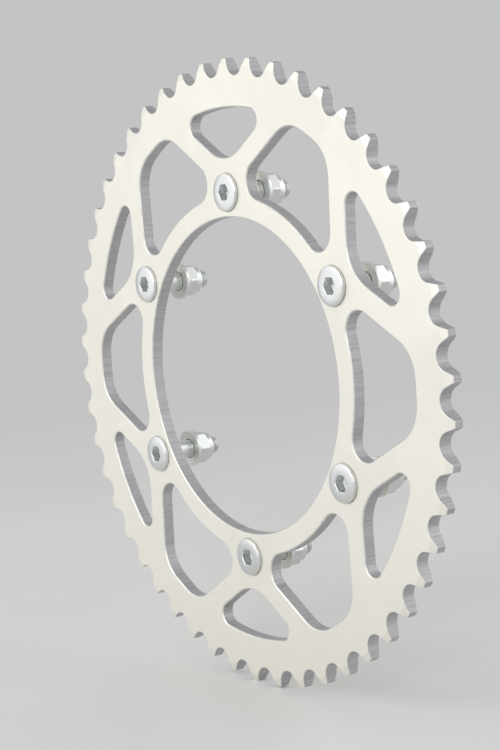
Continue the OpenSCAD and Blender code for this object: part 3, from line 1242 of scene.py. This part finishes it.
class SPROCKET_OT_nylon_rings(bpy.types.Operator):
    """Build the nylon rings of the locking nuts"""

    bl_idname = "sprocket.nylon_rings"
    bl_label = "Nylon Rings"

    def execute(self, context):
        scene = context.scene
        material = nylon_material(scene.sprocket_finish)
        for k, centre in bolt_places(scene.sprocket_bolts):
            shape = nylon_shape(scene.sprocket_nuts, scene.sprocket_bolts, centre)
            shape.make_piece(
                f"nylon_ring_{k}", material, body=f"nut_{k}", slot="nut_insert", node=f"nut_insert_{k}"
            )
        return {"FINISHED"}


def add_floor(finish):
    """A round floor under the lowest teeth: points r (cos t, sin t) on rings that widen from the middle."""
    rings = np.array([0.0005, 0.3, 1.0, 3.0, 12.0])
    flat = rings[:, None, None] * directions(columns())
    points = with_height(flat, CAD_BOX[0].z).reshape(-1, 3)
    numbers = np.arange(len(points)).reshape(len(rings), -1)
    beside = np.roll(numbers, -1, axis=1)
    quads = np.stack([numbers[:-1], numbers[1:], beside[1:], beside[:-1]], axis=-1).reshape(-1, 4)
    mesh = bpy.data.meshes.new("floor")
    mesh.from_pydata(points.tolist(), [], quads.tolist() + [numbers[0].tolist()])
    mesh.materials.append(floor_material(finish))
    floor = bpy.data.objects.new("floor", mesh)
    bpy.context.scene.collection.objects.link(floor)


def add_light(name, place, size, watts):
    """A square soft light that looks at the middle of the plate."""
    data = bpy.data.lights.new(name, "AREA")
    data.energy = watts
    data.size = size
    light = bpy.data.objects.new(name, data)
    light.location = place
    light.rotation_mode = "QUATERNION"
    light.rotation_quaternion = (-Vector(place)).to_track_quat("-Z", "Y")
    bpy.context.scene.collection.objects.link(light)


def light_world(studio):
    """A plain pale backdrop that lights the piece evenly from all round."""
    world = bpy.data.worlds.new("studio")
    world.use_nodes = True
    background = world.node_tree.nodes["Background"]
    background.inputs["Color"].default_value = (1.0, 1.0, 1.0, 1.0)
    background.inputs["Strength"].default_value = studio.backdrop
    bpy.context.scene.world = world


def add_camera(studio):
    """A camera on the photograph's line of sight to the plate."""
    data = bpy.data.cameras.new("camera")
    data.lens = studio.lens
    level = math.cos(studio.elevation)
    back = Vector(
        (math.sin(studio.azimuth) * level, -math.cos(studio.azimuth) * level, math.sin(studio.elevation))
    )
    camera = bpy.data.objects.new("camera", data)
    camera.location = studio.distance * back
    camera.rotation_mode = "QUATERNION"
    roll = Quaternion((0.0, 0.0, 1.0), studio.roll)
    camera.rotation_quaternion = (-back).to_track_quat("-Z", "Y") @ roll
    bpy.context.scene.collection.objects.link(camera)
    bpy.context.scene.camera = camera


class SPROCKET_OT_stage(bpy.types.Operator):
    """Set up the floor, the lights and the camera"""

    bl_idname = "sprocket.stage"
    bl_label = "Stage"

    def execute(self, context):
        scene = context.scene
        studio = scene.sprocket_studio
        add_floor(scene.sprocket_finish)
        for name, (place, size) in LIGHTS.items():
            add_light(name, place, size, getattr(studio, f"{name}_power"))
        light_world(studio)
        add_camera(studio)
        scene.view_settings.view_transform = "Standard"
        return {"FINISHED"}


OPERATORS = (
    SPROCKET_OT_plate,
    SPROCKET_OT_bolts,
    SPROCKET_OT_washers,
    SPROCKET_OT_nuts,
    SPROCKET_OT_nylon_rings,
    SPROCKET_OT_stage,
)
SETTINGS = {
    "sprocket_plate": PlateSizes,
    "sprocket_bolts": BoltSizes,
    "sprocket_nuts": NutSizes,
    "sprocket_finish": FinishSettings,
    "sprocket_studio": StudioSettings,
}


class SPROCKET_PT_panel(bpy.types.Panel):
    """The sprocket's pieces and settings"""

    bl_idname = "SPROCKET_PT_panel"
    bl_label = "Rear Sprocket"
    bl_space_type = "VIEW_3D"
    bl_region_type = "UI"
    bl_category = "Sprocket"

    def draw(self, context):
        for operator in OPERATORS:
            self.layout.operator(operator.bl_idname)
        for name, group in SETTINGS.items():
            box = self.layout.box()
            for key in group.__annotations__:
                box.prop(getattr(context.scene, name), key)


CLASSES = (*SETTINGS.values(), *OPERATORS, SPROCKET_PT_panel)


def register():
    """Registers the classes and hangs the settings on the scene."""
    for cls in CLASSES:
        bpy.utils.register_class(cls)
    for name, group in SETTINGS.items():
        setattr(bpy.types.Scene, name, bpy.props.PointerProperty(type=group))


def unregister():
    """Undoes register."""
    for name in SETTINGS:
        delattr(bpy.types.Scene, name)
    for cls in reversed(CLASSES):
        bpy.utils.unregister_class(cls)


def main():
    """Builds every piece and the stage."""
    register()
    bpy.ops.sprocket.plate()
    bpy.ops.sprocket.bolts()
    bpy.ops.sprocket.washers()
    bpy.ops.sprocket.nuts()
    bpy.ops.sprocket.nylon_rings()
    bpy.ops.sprocket.stage()


if __name__ == "__main__":
    main()
